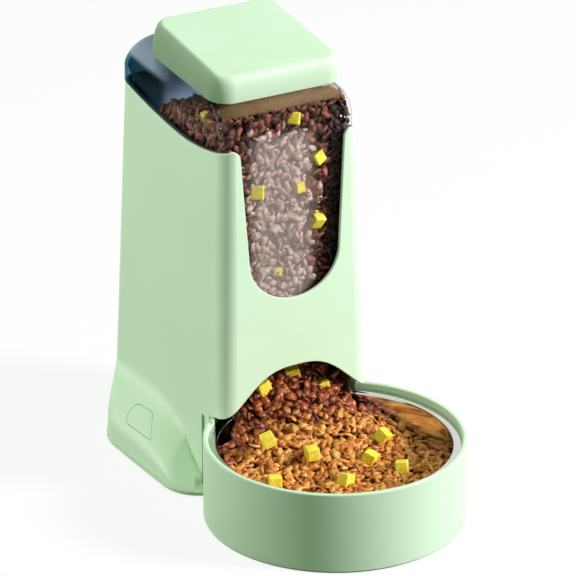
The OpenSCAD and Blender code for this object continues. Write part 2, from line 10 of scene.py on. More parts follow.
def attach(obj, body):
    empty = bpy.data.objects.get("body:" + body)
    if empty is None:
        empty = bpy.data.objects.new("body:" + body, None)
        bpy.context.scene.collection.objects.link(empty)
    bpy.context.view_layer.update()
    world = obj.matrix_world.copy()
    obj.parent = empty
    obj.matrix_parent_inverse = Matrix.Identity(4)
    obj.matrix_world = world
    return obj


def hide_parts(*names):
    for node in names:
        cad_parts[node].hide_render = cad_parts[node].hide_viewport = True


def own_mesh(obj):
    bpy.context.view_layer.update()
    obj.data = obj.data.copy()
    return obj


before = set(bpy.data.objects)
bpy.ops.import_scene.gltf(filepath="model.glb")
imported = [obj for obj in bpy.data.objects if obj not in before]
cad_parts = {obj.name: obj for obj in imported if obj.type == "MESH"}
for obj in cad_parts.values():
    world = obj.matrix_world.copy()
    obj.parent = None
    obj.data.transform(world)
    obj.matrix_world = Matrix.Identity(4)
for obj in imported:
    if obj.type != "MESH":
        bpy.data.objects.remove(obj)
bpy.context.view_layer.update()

MM = 0.001
rng = np.random.default_rng(11)
random.seed(11)

# Sizes in millimetres, the same as in the CAD source
LEAN = math.tan(math.radians(1.95))
WALL, HOP_WALL = 2.6, 2.0
CORNER = 12.0
SIDE_W, FRONT_Y, BACK_Y = 61.5, -14.0, 151.0   # at height 0
FLOOR_Z = 3.7
FOOT_H, FOOT_W, FOOT_BACK_R = 52.0, 82.0, 48.0
RIM_H, RIM_RISE, RIM_FRONT, RIM_TURN = 247.5, 19.0, 6.5, 45.0
ARCH_Z, ARCH_FOOT, ARCH_HALF = 91.0, 60.5, 62.0
WIN_W, WIN_W2, WIN_Z, WIN_END, WIN_CORNER = 81.0, 71.0, 141.0, 32.0, 6.0
RING_R, RING_Y, RING_H = 90.0, -61.0, 58.0
RING_CUT = 90.4
SEAT_Z = 52.7
BOWL_R = 86.0
BOWL_IN = 79.8
SHEET = 0.9
TILT = math.radians(6)   # of the deck and the lid
SLOPE = math.tan(TILT)
DECK_H = 281.0
LID_Y = 58.5


def side_x(z):
    return SIDE_W - z * LEAN


def front_at(z):
    return FRONT_Y + z * LEAN


def back_at(z):
    return BACK_Y - z * LEAN


def fade(t):
    """1 up to a quarter of the way, then down to 0 in half a cosine wave."""
    if t <= 0.25:
        return 1.0
    if t >= 1:
        return 0.0
    return (1 + math.cos(math.pi * (t - 0.25) / 0.75)) / 2


RIM_LOW_Y = front_at(RIM_H)


def rim_at(y):
    """Height of the shell's rim, which rises to the front and more to the back."""
    back = max(0.0, (y - RIM_TURN) / (BACK_Y - RIM_TURN)) ** 1.5
    front = max(0.0, (RIM_TURN - y) / (RIM_TURN - RIM_LOW_Y)) ** 2
    return RIM_H + RIM_RISE * back + RIM_FRONT * front


def arch_at(x):
    """Height of the bell-shaped feed arch."""
    k = min(1.0, abs(x) / ARCH_HALF) ** 1.45
    return ARCH_FOOT + (ARCH_Z - ARCH_FOOT) * (1 + math.cos(math.pi * k)) / 2


# Meshes


def place(name, data):
    """A new object in the scene."""
    ob = bpy.data.objects.new(name, data)
    bpy.context.scene.collection.objects.link(ob)
    return ob


def smooth(mesh):
    for p in mesh.polygons:
        p.use_smooth = True


def new_object(name, verts, faces, closed=True):
    mesh = bpy.data.meshes.new(name)
    mesh.from_pydata([(v[0] * MM, v[1] * MM, v[2] * MM) for v in verts], [], faces)
    mesh.update()
    if closed:
        bm = bmesh.new()
        bm.from_mesh(mesh)
        bmesh.ops.remove_doubles(bm, verts=bm.verts, dist=1e-6)
        bmesh.ops.recalc_face_normals(bm, faces=bm.faces)
        bm.to_mesh(mesh)
        bm.free()
    smooth(mesh)
    return place(name, mesh)


def weighted(ob):
    m = ob.modifiers.new("normals", "WEIGHTED_NORMAL")
    m.mode = "FACE_AREA"
    m.weight = 60
    m.keep_sharp = True
    return ob


def ring_mesh(name, rings, cap=False):
    """A closed skin through rings of equal length. Without caps the last ring joins the first."""
    n, m = len(rings[0]), len(rings)
    verts = [p for r in rings for p in r]
    faces = []
    for k in range(m - 1 if cap else m):
        k2 = (k + 1) % m
        for i in range(n):
            j = (i + 1) % n
            faces.append((k * n + i, k * n + j, k2 * n + j, k2 * n + i))
    if cap:
        faces.append(tuple(range(n - 1, -1, -1)))
        faces.append(tuple((m - 1) * n + i for i in range(n)))
    return new_object(name, verts, faces)


def turned(name, profile, n=192):
    """A closed outline of (radius, z) turned about the bowl's axis."""
    turns = [2 * math.pi * i / n for i in range(n)]
    return ring_mesh(name, [
        [(r * math.cos(a), RING_Y + r * math.sin(a), z) for a in turns] for r, z in profile])


def arc(cx, cy, r, a0, a1, n):
    """n + 1 points of a circle, from the angle a0 to a1 in degrees."""
    turns = [math.radians(a0 + (a1 - a0) * i / n) for i in range(n + 1)]
    return [(cx + r * math.cos(a), cy + r * math.sin(a)) for a in turns]


def both(h):
    """Half an outline and its mirror image."""
    return h + [(-p[0],) + tuple(p[1:]) for p in reversed(h)]


# Tower shell

FX, FY, FR = 55.0, 29.0, 27.0   # centre and radius of the flared foot's front corner
LOW, SIDE = 0.3, 0.65           # share of FOOT_H that the flare takes, in front and at the corner


def foot_corner(a):
    return (FX + FR * math.cos(math.radians(a)), FY + FR * math.sin(math.radians(a)))


tip = foot_corner(-50)


def toward(k):
    return k * tip[0] + (1 - k) * SIDE_W


# the foot's edge in plan, where each point comes to rest up the wall, and its share
foot_path = [((0, 8), 8, LOW), ((0, 17), 17, LOW),
             ((toward(0.3), tip[1] + 7), 23, LOW), ((toward(0.6), tip[1] + 3.5), 25.5, LOW)]
for i in range(6):
    k = i / 5
    foot_path.append((foot_corner(-50 * (1 - k)), 28 + 12 * k, LOW + (SIDE - LOW) * k ** 1.3))
for i in range(1, 5):
    k = i / 4
    y = FY + (86 - FY) * k
    foot_path.append(((FOOT_W, y), y + 11 * (1 - k), 1 - (1 - SIDE) * (1 - k) ** 2))


def back_corner(z):
    """Half width and corner radius at the back."""
    s = fade(z / FOOT_H)
    return side_x(z) + (FOOT_W - side_x(z)) * s, CORNER + (FOOT_BACK_R - CORNER) * s


def side_knot(i, z):
    if i <= 0:
        return (side_x(z), front_at(z) + CORNER)
    if i > len(foot_path):
        bw, br = back_corner(z)
        return (bw, back_at(z) - br)
    p, y, share = foot_path[i - 1]
    s = fade(z / (FOOT_H * share))
    w = side_x(z)
    return (w + max(p[0] - w, 0) * s, y + (p[1] - y) * s)


KNOTS = len(foot_path) + 2
knot_t = [0.0]
for i in range(1, KNOTS):
    a = side_knot(i - 1, FLOOR_Z)
    b = side_knot(i, FLOOR_Z)
    knot_t.append(knot_t[-1] + math.hypot(b[0] - a[0], b[1] - a[1]))


def side_at(t, z):
    """Point and direction on the side's plan curve at the knot length t and height z."""
    i = 0
    while i < KNOTS - 2 and t > knot_t[i + 1]:
        i += 1
    pts = {j: side_knot(j, z) for j in range(max(i - 1, 0), min(i + 3, KNOTS))}

    def tangent(j):
        if j in (0, KNOTS - 1):
            a, b = (0, 1) if j == 0 else (j - 1, j)
            h = knot_t[b] - knot_t[a]
            return ((pts[b][0] - pts[a][0]) / h, (pts[b][1] - pts[a][1]) / h)
        h0 = knot_t[j] - knot_t[j - 1]
        h1 = knot_t[j + 1] - knot_t[j]
        out = []
        for c in (0, 1):
            d0 = (pts[j][c] - pts[j - 1][c]) / h0
            d1 = (pts[j + 1][c] - pts[j][c]) / h1
            out.append((d0 * h1 + d1 * h0) / (h0 + h1))
        return out

    h = knot_t[i + 1] - knot_t[i]
    s = (t - knot_t[i]) / h
    m0 = tangent(i)
    m1 = tangent(i + 1)
    pos, vel = [], []
    for c in (0, 1):
        p0, p1 = pts[i][c], pts[i + 1][c]
        pos.append((2 * s ** 3 - 3 * s ** 2 + 1) * p0 + (s ** 3 - 2 * s ** 2 + s) * h * m0[c]
                   + (-2 * s ** 3 + 3 * s ** 2) * p1 + (s ** 3 - s ** 2) * h * m1[c])
        vel.append(((6 * s * s - 6 * s) * p0 + (3 * s * s - 4 * s + 1) * h * m0[c]
                    + (6 * s - 6 * s * s) * p1 + (3 * s * s - 2 * s) * h * m1[c]))
    n = math.hypot(vel[0], vel[1]) or 1.0
    return pos, (vel[0] / n, vel[1] / n)


def shell_point(zone, v, z, inset):
    """A point of the shell's skin: zone a is the front corner, s the side, b the back corner and
    m the back. v is an angle in a and b, a knot length in s, and a share of the width in m."""
    if zone == "a":
        r = CORNER - inset
        c = math.radians(v)
        return (side_x(z) - CORNER + r * math.cos(c), front_at(z) + CORNER + r * math.sin(c), z)
    if zone == "s":
        p, d = side_at(v, z)
        return (p[0] - inset * d[1], p[1] + inset * d[0], z)
    bw, br = back_corner(z)
    if zone == "b":
        c = math.radians(v)
        return (bw - br + (br - inset) * math.cos(c),
                back_at(z) - br + (br - inset) * math.sin(c), z)
    return (v * (bw - br), back_at(z) - inset, z)


def side_t_of_y(y, z, inset):
    """The knot length at which the side passes y, near its front."""
    lo, hi = 0.0, knot_t[2]
    for _ in range(40):
        mid = (lo + hi) / 2
        if shell_point("s", mid, z, inset)[1] < y:
            lo = mid
        else:
            hi = mid
    return (lo + hi) / 2


SEAM = 0.3       # the shell stands back from the bowl ring by this much more
# SEAM_AT places the painted shadow line beside the ring
SEAM_AT = 59.2   # where the dark line beside the ring lies


def cut_t(z, inset):
    """The knot length at which the side meets the cut for the bowl ring."""
    x = side_x(z) - inset
    return side_t_of_y(RING_Y + math.sqrt(RING_CUT ** 2 - x * x), z, inset) + SEAM


EDGE_R = 0.8             # rounding of the shell's edges
JOIN = RING_H + 0.4      # the shell's lower edge where it passes over the ring
FLAT = 20                # half width within which the front wall is taken as flat


def over_arch(x):
    """Height of the point that stands off the arch by the edge's rounding."""
    e = 0.05
    s = (arch_at(x + e) - arch_at(x - e)) / (2 * e)
    return arch_at(x) + EDGE_R * math.sqrt(1 + s * s)


def build_shell():
    """One half of the shell, then its mirror image."""
    verts, faces = [], []
    R = EDGE_R

    def add(p):
        verts.append(p)
        return len(verts) - 1

    # window outline from its turned-out corner down to the middle: x, z
    cx, cz = WIN_W / 2 + WIN_CORNER, RIM_H + RIM_FRONT - WIN_CORNER
    win = arc(cx, cz, WIN_CORNER, 90, 180, 12)
    for i in range(1, 9):
        k = i / 9
        win.append((WIN_W / 2 + (WIN_W2 - WIN_W) / 2 * k, cz + (WIN_Z + WIN_END - cz) * k))
    for i in range(25):
        a = math.radians(90 - 90 * i / 24)
        win.append((WIN_W2 / 2 * math.sin(a), WIN_Z + WIN_END - WIN_END * math.cos(a)))
    win_in = []
    for i, p in enumerate(win):
        a = win[max(0, i - 1)]
        b = win[min(len(win) - 1, i + 1)]
        d = (b[0] - a[0], b[1] - a[1])
        n = math.hypot(*d)
        nx, nz = (0.0, -1.0) if i in (0, len(win) - 1) else (-d[1] / n, d[0] / n)
        win_in.append((p[0] + R * nx, p[1] + R * nz))
    SPLIT = 4      # window samples 0..SPLIT top the corner columns

    def arc_y(x, z, inset):
        """The front wall: flat in the middle, an arc at the corner."""
        if x <= FLAT:
            return front_at(z) + inset
        c = side_x(z) - CORNER
        r = CORNER - inset
        q = max(0.0, x - c)
        return front_at(z) + CORNER - math.sqrt(r * r - q * q)

    def arc_angle(x, z, inset):
        c = side_x(z) - CORNER
        return -90 + math.degrees(math.asin(max(0.0, min(1.0, (x - c) / (CORNER - inset)))))

    # columns: zone, bottom value, top value, inner bottom value, inner top value, z bottom, z top
    cols = []
    NA = 14
    tops_o, tops_i = [], []
    for j in range(SPLIT, -1, -1):
        x, z = win_in[j]
        tops_o.append((arc_angle(x, z, 0), z))
        tops_i.append((arc_angle(x, z, WALL), z))
    rest = NA - len(tops_o)
    for j in range(1, rest + 1):
        for lst, inset in ((tops_o, 0), (tops_i, WALL)):
            a = lst[SPLIT][0] * (1 - j / rest)
            y = shell_point("a", a, RIM_H + RIM_FRONT, inset)[1]
            lst.append((a, rim_at(y) - R))
    for j in range(NA):
        a = -90 + 90 * j / (NA - 1)
        z = ARCH_FOOT
        for _ in range(6):
            z = over_arch(shell_point("a", a, z, 0)[0])
        cols.append(["a", a, tops_o[j][0], a, tops_i[j][0], z, tops_o[j][1], tops_i[j][1]])

    def side_col(t_o, t_i, zb):
        zs = [rim_at(shell_point("s", t, RIM_H, inset)[1]) - R
              for t, inset in ((t_o, 0), (t_i, WALL))]
        cols.append(["s", t_o, t_o, t_i, t_i, zb, *zs])

    for y in (1.4, 2.8):
        side_col(side_t_of_y(y, JOIN, 0), side_t_of_y(y, JOIN, WALL), ARCH_FOOT + R)
    side_col(side_t_of_y(3.6, JOIN, 0), side_t_of_y(3.6, JOIN, WALL), JOIN + R)
    first_low = len(cols)
    tc_o = cut_t(JOIN + R, 0) + R
    tc_i = cut_t(JOIN + R, WALL) + R
    BL = 4
    for j in range(BL):
        side_col(tc_o + (knot_t[2] - tc_o) * j / BL, tc_i + (knot_t[2] - tc_i) * j / BL, JOIN + R)
    for i in range(2, KNOTS - 1):
        steps = 3 if i < KNOTS - 2 else 5
        for q in range(steps):
            t = knot_t[i] + (knot_t[i + 1] - knot_t[i]) * q / steps
            side_col(t, t, JOIN + R)
    NB = 22
    back = [("b", 90 * q / NB) for q in range(NB)] + [("m", f) for f in (1.0, 0.66, 0.33, 0.0)]
    for zone, v in back:
        zs = [rim_at(shell_point(zone, v, RIM_H + 15, s)[1]) - R for s in (0, WALL)]
        cols.append([zone, v, v, v, v, JOIN + R, *zs])

    def skin(g):
        for a, b in zip(g, g[1:]):
            for k in range(len(a) - 1):
                faces.append((a[k], b[k], b[k + 1], a[k + 1]))

    UP = 18
    grid = {}
    for side, inset in (("o", 0), ("i", WALL)):
        g = []
        for c in cols:
            col = []
            b, t = (c[1], c[2]) if side == "o" else (c[3], c[4])
            zb, zt = c[5], c[6] if side == "o" else c[7]
            for k in range(UP + 1):
                f = k / UP
                col.append(add(shell_point(c[0], b + (t - b) * f, zb + (zt - zb) * f, inset)))
            g.append(col)
        grid[side] = g
        skin(g)

    # lower part, behind the ring
    DOWN = 26
    low_z = [JOIN + R + (FLOOR_Z + 0.25 - JOIN - R) * k / DOWN for k in range(DOWN + 1)]
    low = {}
    for side, inset in (("o", 0), ("i", WALL)):
        g = []
        for c in range(first_low, len(cols)):
            col = [grid[side][c][0]]
            for k in range(1, DOWN + 1):
                z = low_z[k]
                v = cols[c][1] if side == "o" else cols[c][3]
                if c - first_low < BL:
                    tc = cut_t(z, inset) + R
                    v = tc + (knot_t[2] - tc) * (c - first_low) / BL
                col.append(add(shell_point(cols[c][0], v, z, inset)))
            g.append(col)
        low[side] = g
        skin(g)

    # front wall: one flat face outside and one inside, half of each
    NAR = 26
    xa = verts[grid["o"][0][0]][0]
    arch_x = [xa * (1 - k / NAR) for k in range(1, NAR + 1)]
    arch = [(x, over_arch(x)) for x in arch_x]
    front = {}
    for side, inset in (("o", 0), ("i", WALL)):
        w_ids = [add((x, arc_y(x, z, inset), z)) for x, z in win_in[SPLIT + 1:]]
        a_ids = [add((x, front_at(z) + inset, z)) for x, z in arch]
        front[side] = (w_ids, a_ids)
        faces.append(tuple(grid[side][0] + w_ids + a_ids[::-1]))

    def strip(samples):
        """Rounded edges between the outer and the inner skin."""
        rows = []
        for qo, qi, eo, ei in samples:
            po, pi = Vector(verts[qo]), Vector(verts[qi])
            eo, ei = Vector(eo), Vector(ei)
            span = (ei - eo).length
            r = min((po - eo).length, span * 0.45)
            fo = eo + (ei - eo) * (r / span)
            fi = ei + (eo - ei) * (r / span)
            row = [qo]
            for p, e, f, shares in ((po, eo, fo, (0.25, 0.5, 0.75, 1.0)),
                                    (pi, ei, fi, (1.0, 0.75, 0.5, 0.25))):
                for k in shares:
                    row.append(add(tuple((1 - k) ** 2 * p + 2 * k * (1 - k) * e + k * k * f)))
            row.append(qi)
            rows.append(row)
        skin(rows)

    def lifted(q, h):
        x, y, z = verts[q]
        return (x, y, z + h)

    top = []
    for c in range(len(cols) - 1, -1, -1):
        qo, qi = grid["o"][c][-1], grid["i"][c][-1]
        if c <= SPLIT:
            x, z = win[SPLIT - c]
            eo, ei = ((x, arc_y(x, z, inset), z) for inset in (0, WALL))
        else:
            eo, ei = (lifted(q, R) for q in (qo, qi))
        top.append((qo, qi, eo, ei))
    for k, (x, z) in enumerate(win[SPLIT + 1:]):
        eo, ei = ((x, arc_y(x, z, inset), z) for inset in (0, WALL))
        top.append((front["o"][0][k], front["i"][0][k], eo, ei))
    strip(top)

    bottom = []
    for c in range(len(low["o"]) - 1, 0, -1):
        qo, qi = low["o"][c][-1], low["i"][c][-1]
        po, pi = verts[qo], verts[qi]
        bottom.append((qo, qi, (po[0], po[1], FLOOR_Z), (pi[0], pi[1], FLOOR_Z)))
    for k in range(DOWN, -1, -1):
        z = FLOOR_Z if k == DOWN else low_z[k] if k > 0 else JOIN
        eo, ei = (shell_point("s", cut_t(z, inset), z, inset) for inset in (0, WALL))
        bottom.append((low["o"][0][k], low["i"][0][k], eo, ei))
    for c in range(first_low - 1, -1, -1):
        qo, qi = grid["o"][c][0], grid["i"][c][0]
        bottom.append((qo, qi, lifted(qo, -R), lifted(qi, -R)))
    for k, x in enumerate(arch_x):
        z = arch_at(x)
        eo, ei = ((x, front_at(z) + inset, z) for inset in (0, WALL))
        bottom.append((front["o"][1][k], front["i"][1][k], eo, ei))
    strip(bottom)

    n = len(verts)
    verts += [(-v[0], v[1], v[2]) for v in verts]
    faces += [tuple(i + n for i in reversed(f)) for f in faces]
    return new_object("tower_shell_skin", verts, faces)


# the side button's outline, slanted in front and round behind, and the gap round it
PAD_Z, PAD_R, PAD_Y0, PAD_Y1, PAD_LEAN, PAD_GAP = 29.5, 6.25, 60.0, 96.0, 14.0, 0.42
CUT_X = (60.7, 95.0)


def button_prism(s, grow):
    z0, z1 = PAD_Z - PAD_R - grow, PAD_Z + PAD_R + grow
    lean = PAD_LEAN / (2 * PAD_R)
    edge = math.hypot(PAD_LEAN, 2 * PAD_R) / (2 * PAD_R)
    pts = [(PAD_Y0 - grow * (edge + lean), z0)]
    pts += arc(PAD_Y1 - PAD_R, PAD_Z, PAD_R + grow, -90, 90, 24)
    pts.append((PAD_Y0 + PAD_LEAN - grow * (edge - lean), z1))
    return ring_mesh("cutter", [[(s * x, *p) for p in pts] for x in CUT_X], cap=True)


def cut_with(ob, cutter):
    m = ob.modifiers.new("cut", "BOOLEAN")
    m.operation = "DIFFERENCE"
    m.solver = "EXACT"
    m.object = cutter
    bpy.context.view_layer.update()
    dg = bpy.context.evaluated_depsgraph_get()
    mesh = bpy.data.meshes.new_from_object(ob.evaluated_get(dg))
    ob.modifiers.clear()
    ob.data = mesh
    bpy.data.objects.remove(cutter)


shell = build_shell()
for s in (1, -1):
    cut_with(shell, button_prism(s, PAD_GAP))
smooth(shell.data)
shell.data.set_sharp_from_angle(angle=math.radians(50))
weighted(shell)

# Hopper

HOP_GAP = 0.4             # between the hopper and the shell
RIM_BACK = RIM_H + RIM_RISE
HOP_X = side_x(RIM_BACK) - WALL - HOP_GAP
HOP_YB = back_at(RIM_BACK) - WALL - HOP_GAP
HOP_Y0 = front_at(RIM_H + RIM_FRONT) + WALL + HOP_GAP
HOP_R = CORNER - WALL - HOP_GAP
OUT_Z, THROAT_Z = 98.0, 104.0     # the outlet, and where the funnel begins
SHOULDER_H, SHOULDER_IN = 20.0, 12.0   # the rounded shoulder under the deck
STEP = 0.6                        # how far the hopper stands back from the shell's outside


def deck_at(y):
    return DECK_H + SLOPE * (y - HOP_Y0)


def hop_x(z):
    return min(HOP_X - max(0.0, RIM_H - z) * 0.008, 43.4 + max(0.0, z - THROAT_Z) * 0.18)


def hop_back(z):
    return min(HOP_YB, 57 + max(0.0, z - THROAT_Z))


def hop_plan(x1, yb, yf, rf, rb):
    """A rounded rectangle: half width, back, front, and the radii in front and behind."""
    side = [(x1, yf + rf + (yb - rb - yf - rf) * i / 24) for i in range(1, 24)]
    return both(arc(x1 - rf, yf + rf, rf, -90, 0, 14) + side
                + arc(x1 - rb, yb - rb, rb, 0, 90, 20))


def hop_low(z, t):
    return hop_plan(hop_x(z) - t, hop_back(z) - t, HOP_Y0 + t, HOP_R - t, HOP_R - t)


def hop_high(z, t, inset, rb):
    return hop_plan(side_x(z) - STEP - t - inset, back_at(z + 6) - STEP - t - inset,
                    HOP_Y0 + t + inset / 2, HOP_R - t + inset / 3, rb - t)


def hopper_rings(t, drop):
    """Rings from the outlet to the neck: a skin t inside the outer one, lower by drop on top."""
    out = []
    for z in (OUT_Z, 101, THROAT_Z, 112, 120, 128, 134, 138, 144, 158, 175, 190, 210, 230):
        out.append([(*p, z) for p in hop_low(z, t)])
    low = hop_low(RIM_H, t)
    out += [[(*p, rim_at(p[1]) + h + drop) for p in low] for h in (-0.9, 0.1)]
    high = hop_high(RIM_H + 8, t, 0, HOP_R)
    if t == 0:
        out.append([(*p, rim_at(p[1]) + 0.3) for p in high])
    for k in range(15):
        a = 90 * k / 14
        c, s = math.cos(math.radians(a)), math.sin(math.radians(a))
        h = -SHOULDER_H * (1 - s) - drop
        plan = hop_high(DECK_H + h, t, SHOULDER_IN * (1 - c), HOP_R + 19 * a / 90)
        out.append([(*p, deck_at(p[1]) + h) for p in plan])
    return out


def on_deck(x, y, z):
    """A point given from the middle of the sloping deck."""
    return (x, LID_Y + y * math.cos(TILT) - z * math.sin(TILT),
            deck_at(LID_Y) + y * math.sin(TILT) + z * math.cos(TILT))


NECK_X, NECK_Y, NECK_C = HOP_X - 8, 41.0, 13.0   # half sizes and corner radius


def neck_ring(grow, h):
    x, y, r = NECK_X + grow, NECK_Y + grow, NECK_C + grow
    return [on_deck(*p, h) for p in hop_plan(x, y, -y, r, r)]


outer = hopper_rings(0, 0)
inner = hopper_rings(HOP_WALL, HOP_WALL)
neck = [neck_ring(*row) for row in (
    (0.8, 0.0), (0, 0.9), (0, 9.5), (-0.5, 10.0), (-1.5, 10.0), (-2, 9.5), (-2, -1.6),
    (-1.5, -2.1))]
hopper = weighted(ring_mesh("hopper_skin", outer + neck + inner[::-1]))

# Lid

# half sizes, height and corner radius
LID_X, LID_YH, LID_H, LID_C = side_x(DECK_H) - 1.4, 50.0, 18.2, 15.0
WEDGE = math.tan(math.radians(3.7))   # the top is steeper than the deck by this slope
EDGE, DRAFT = 5.2, 1.8                # rounding of the top edge, and lean of the sides
LEAST_C = 4                           # smallest corner radius


def lid_ring(inset, h, w):
    """The outline pulled in, at a height above the deck that takes the share w of the wedge."""
    x, y, r = LID_X - inset, LID_YH - inset, max(LID_C - inset, LEAST_C)
    side = [(x, (y - r) * (2 * i / 8 - 1)) for i in range(1, 8)]
    plan = both(arc(x - r, r - y, r, -90, 0, 16) + side + arc(x - r, y - r, r, 0, 90, 16))
    return [on_deck(*p, h + w * WEDGE * (p[1] + LID_YH)) for p in plan]


# the hollow under the lid, from its middle out
rings = [lid_ring(*row) for row in (
    (46, LID_H - 2.2, 1), (10, LID_H - 2.6, 1), (6, LID_H - 4.5, 1), (3.6, LID_H - 8, 1),
    (2.8, 7.0, 0.6), (2.2, 4.0, 0), (2.2, 0.7, 0), (1.8, 0.3, 0), (0.5, 0.3, 0), (0.12, 0.5, 0),
    (0, 0.9, 0))]
# the sides, their rounded top edge and the slight crown
SIDE_Z, FULL = 1.6, 2.5
for i in range(25):
    a = math.radians(90 * i / 24)
    up = math.sin(a) ** (2 / FULL)
    rings.append(lid_ring((DRAFT + EDGE) * (1 - math.cos(a) ** (2 / FULL)),
                          SIDE_Z + (LID_H - SIDE_Z) * up, up))
for k in range(1, 9):
    f = k / 8
    rings.append(lid_ring(DRAFT + EDGE + 38 * f, LID_H + 0.25 * (1 - (1 - f) ** 2), 1))
lid = weighted(ring_mesh("lid_cover_skin", rings, cap=True))

# Steel bowl

HEM = 0.25                       # rounding of the flange's edge
DEEP, BEND, TAPER = 43.0, 9.0, 8   # depth, bend at the bottom, and how far the wall comes in
top = SEAT_Z + SHEET
flange = [(BOWL_R - HEM, SEAT_Z), (BOWL_R, SEAT_Z + HEM), (BOWL_R, top - HEM), (BOWL_R - HEM, top)]
base = SEAT_Z - DEEP
bend_r, bend_z = BOWL_IN - TAPER - BEND, base + SHEET + BEND
out_r = BOWL_IN + SHEET
profile = flange + [(BOWL_IN + 2.4, top), (BOWL_IN + 1.2, top - 0.25),
                    (BOWL_IN + 0.4, top - 1.0), (BOWL_IN, top - 2.2)]
profile += arc(bend_r, bend_z, BEND, -13, -90, 14)
profile += [(r, base + SHEET) for r in (40, 12, 0.4)] + [(r, base) for r in (0.4, 12, 40)]
profile += arc(bend_r, bend_z, BEND + SHEET, -90, -13, 14)
profile += [(out_r, SEAT_Z - 2.2), (out_r + 0.4, SEAT_Z - 1.0), (out_r + 1.0, SEAT_Z - 0.2),
            (out_r + 1.8, SEAT_Z)]
bowl = weighted(turned("steel_bowl_skin", profile))

# Materials


def srgb(r, g, b):
    out = []
    for c in (r, g, b):
        c /= 255
        out.append(c / 12.92 if c <= 0.04045 else ((c + 0.055) / 1.055) ** 2.4)
    return tuple(out) + (1.0,)


class Nodes:
    """A node tree, with short words for what the materials share. Sockets go in and come out."""

    def __init__(self, home, out="Material"):
        self.home = home
        home.use_nodes = True
        self.t = home.node_tree
        self.t.nodes.clear()
        self.out = self.new("ShaderNodeOutput" + out).inputs["Surface"]
        self.at = self.new("ShaderNodeTexCoord").outputs["Object"]

    def new(self, kind, **props):
        n = self.t.nodes.new(kind)
        for k, v in props.items():
            setattr(n, k, v)
        return n

    def put(self, socket, value):
        """Link a socket or set a constant."""
        if isinstance(value, bpy.types.NodeSocket):
            self.t.links.new(value, socket)
        else:
            socket.default_value = value

    def fill(self, node, pairs, out=0):
        for key, value in pairs:
            self.put(node.inputs[key], value)
        return node.outputs[out]

    def maths(self, op, *values):
        return self.fill(self.new("ShaderNodeMath", operation=op), enumerate(values))

    def times(self, a, b):
        return self.maths("MULTIPLY", a, b)

    def split(self):
        return self.fill(self.new("ShaderNodeSeparateXYZ"), [(0, self.at)]).node.outputs

    def noise(self, scale, detail=3.0, rough=0.5):
        return self.fill(self.new("ShaderNodeTexNoise"), (
            ("Vector", self.at), ("Scale", scale), ("Detail", detail), ("Roughness", rough)), "Fac")

    def ramp(self, src, stops):
        r = self.new("ShaderNodeValToRGB")
        els = r.color_ramp.elements
        while len(els) > 1:
            els.remove(els[-1])
        els[0].position, els[0].color = stops[0]
        for pos, col in stops[1:]:
            els.new(pos).color = col
        return self.fill(r, [("Fac", src)], "Color")

    def tones(self, src, dark, light):
        return self.ramp(src, [(0.3, dark), (0.7, light)])

    def spread(self, src, lo, hi, start=0.25, end=0.75, kind="LINEAR"):
        return self.fill(self.new("ShaderNodeMapRange", interpolation_type=kind), (
            ("Value", src), ("From Min", start), ("From Max", end), ("To Min", lo), ("To Max", hi)),
            "Result")

    def reach(self, src, zero, one):
        """0 at the first place and 1 at the second, both in metres, with a soft change between."""
        ends = (0.0, 1.0) if zero < one else (1.0, 0.0)
        return self.spread(src, *ends, min(zero, one), max(zero, one), "SMOOTHSTEP")

    def bump(self, src, strength, distance):
        return self.fill(self.new("ShaderNodeBump"), (
            ("Height", src), ("Strength", strength), ("Distance", distance)), "Normal")

    def shader(self, kind="BsdfPrincipled", **values):
        pairs = [(word.replace("_", " "), v) for word, v in values.items()]
        return self.fill(self.new("ShaderNode" + kind), pairs)

    def mix(self, share, below, above):
        return self.fill(self.new("ShaderNodeMixShader"), enumerate((share, below, above)))

    def pick(self, share, below, above):
        return self.fill(self.new("ShaderNodeMix", data_type="RGBA"),
                         ((0, share), (6, below), (7, above)), 2)

    def done(self, look):
        self.put(self.out, look)
        return self.home


def nodes(name):
    return Nodes(bpy.data.materials.new(name))


# painted shade: a dark green line on the shell beside the bowl ring, for the shadow in the gap
# between them
SEAM_SHADOW_COLOUR = srgb(84, 126, 76)
SEAM_COS, SEAM_SIN = 0.858, 0.514   # plan direction across the seam
SEAM_X = 55.0                       # the line lies outside this, on both sides


def seam_shadow(n):
    """1 along the line where the shell stands behind the bowl ring, where the shadow in the gap is
    painted.
    """
    x, y, z = n.split()
    wide = n.maths("ABSOLUTE", x)
    u = n.maths("ADD", n.times(wide, SEAM_COS), n.times(y, SEAM_SIN))
    near = n.times(n.maths("LESS_THAN", u, (SEAM_AT + 1.0) * MM),
                   n.maths("GREATER_THAN", u, (SEAM_AT - 1.0) * MM))
    near = n.times(near, n.maths("GREATER_THAN", wide, SEAM_X * MM))
    return n.times(near, n.maths("LESS_THAN", z, (RING_H - 1.5) * MM))


def moulded(name, dark, light, rough_lo, rough_hi, line=None):
    n = nodes(name)
    colour = n.tones(n.noise(14.0, 2.0), dark, light)
    # where a line colour is given, paint the shadow line beside the bowl ring
    if line:
        colour = n.pick(seam_shadow(n), colour, line)
    return n.done(n.shader(
        Base_Color=colour, Specular_IOR_Level=0.3,
        Roughness=n.spread(n.noise(60.0, 4.0), rough_lo, rough_hi),
        Normal=n.bump(n.noise(2600.0, 2.0), 0.05, 0.0001)))


STRAIGHT = 0.98   # the share of the light that isn't bent by the clear plastic


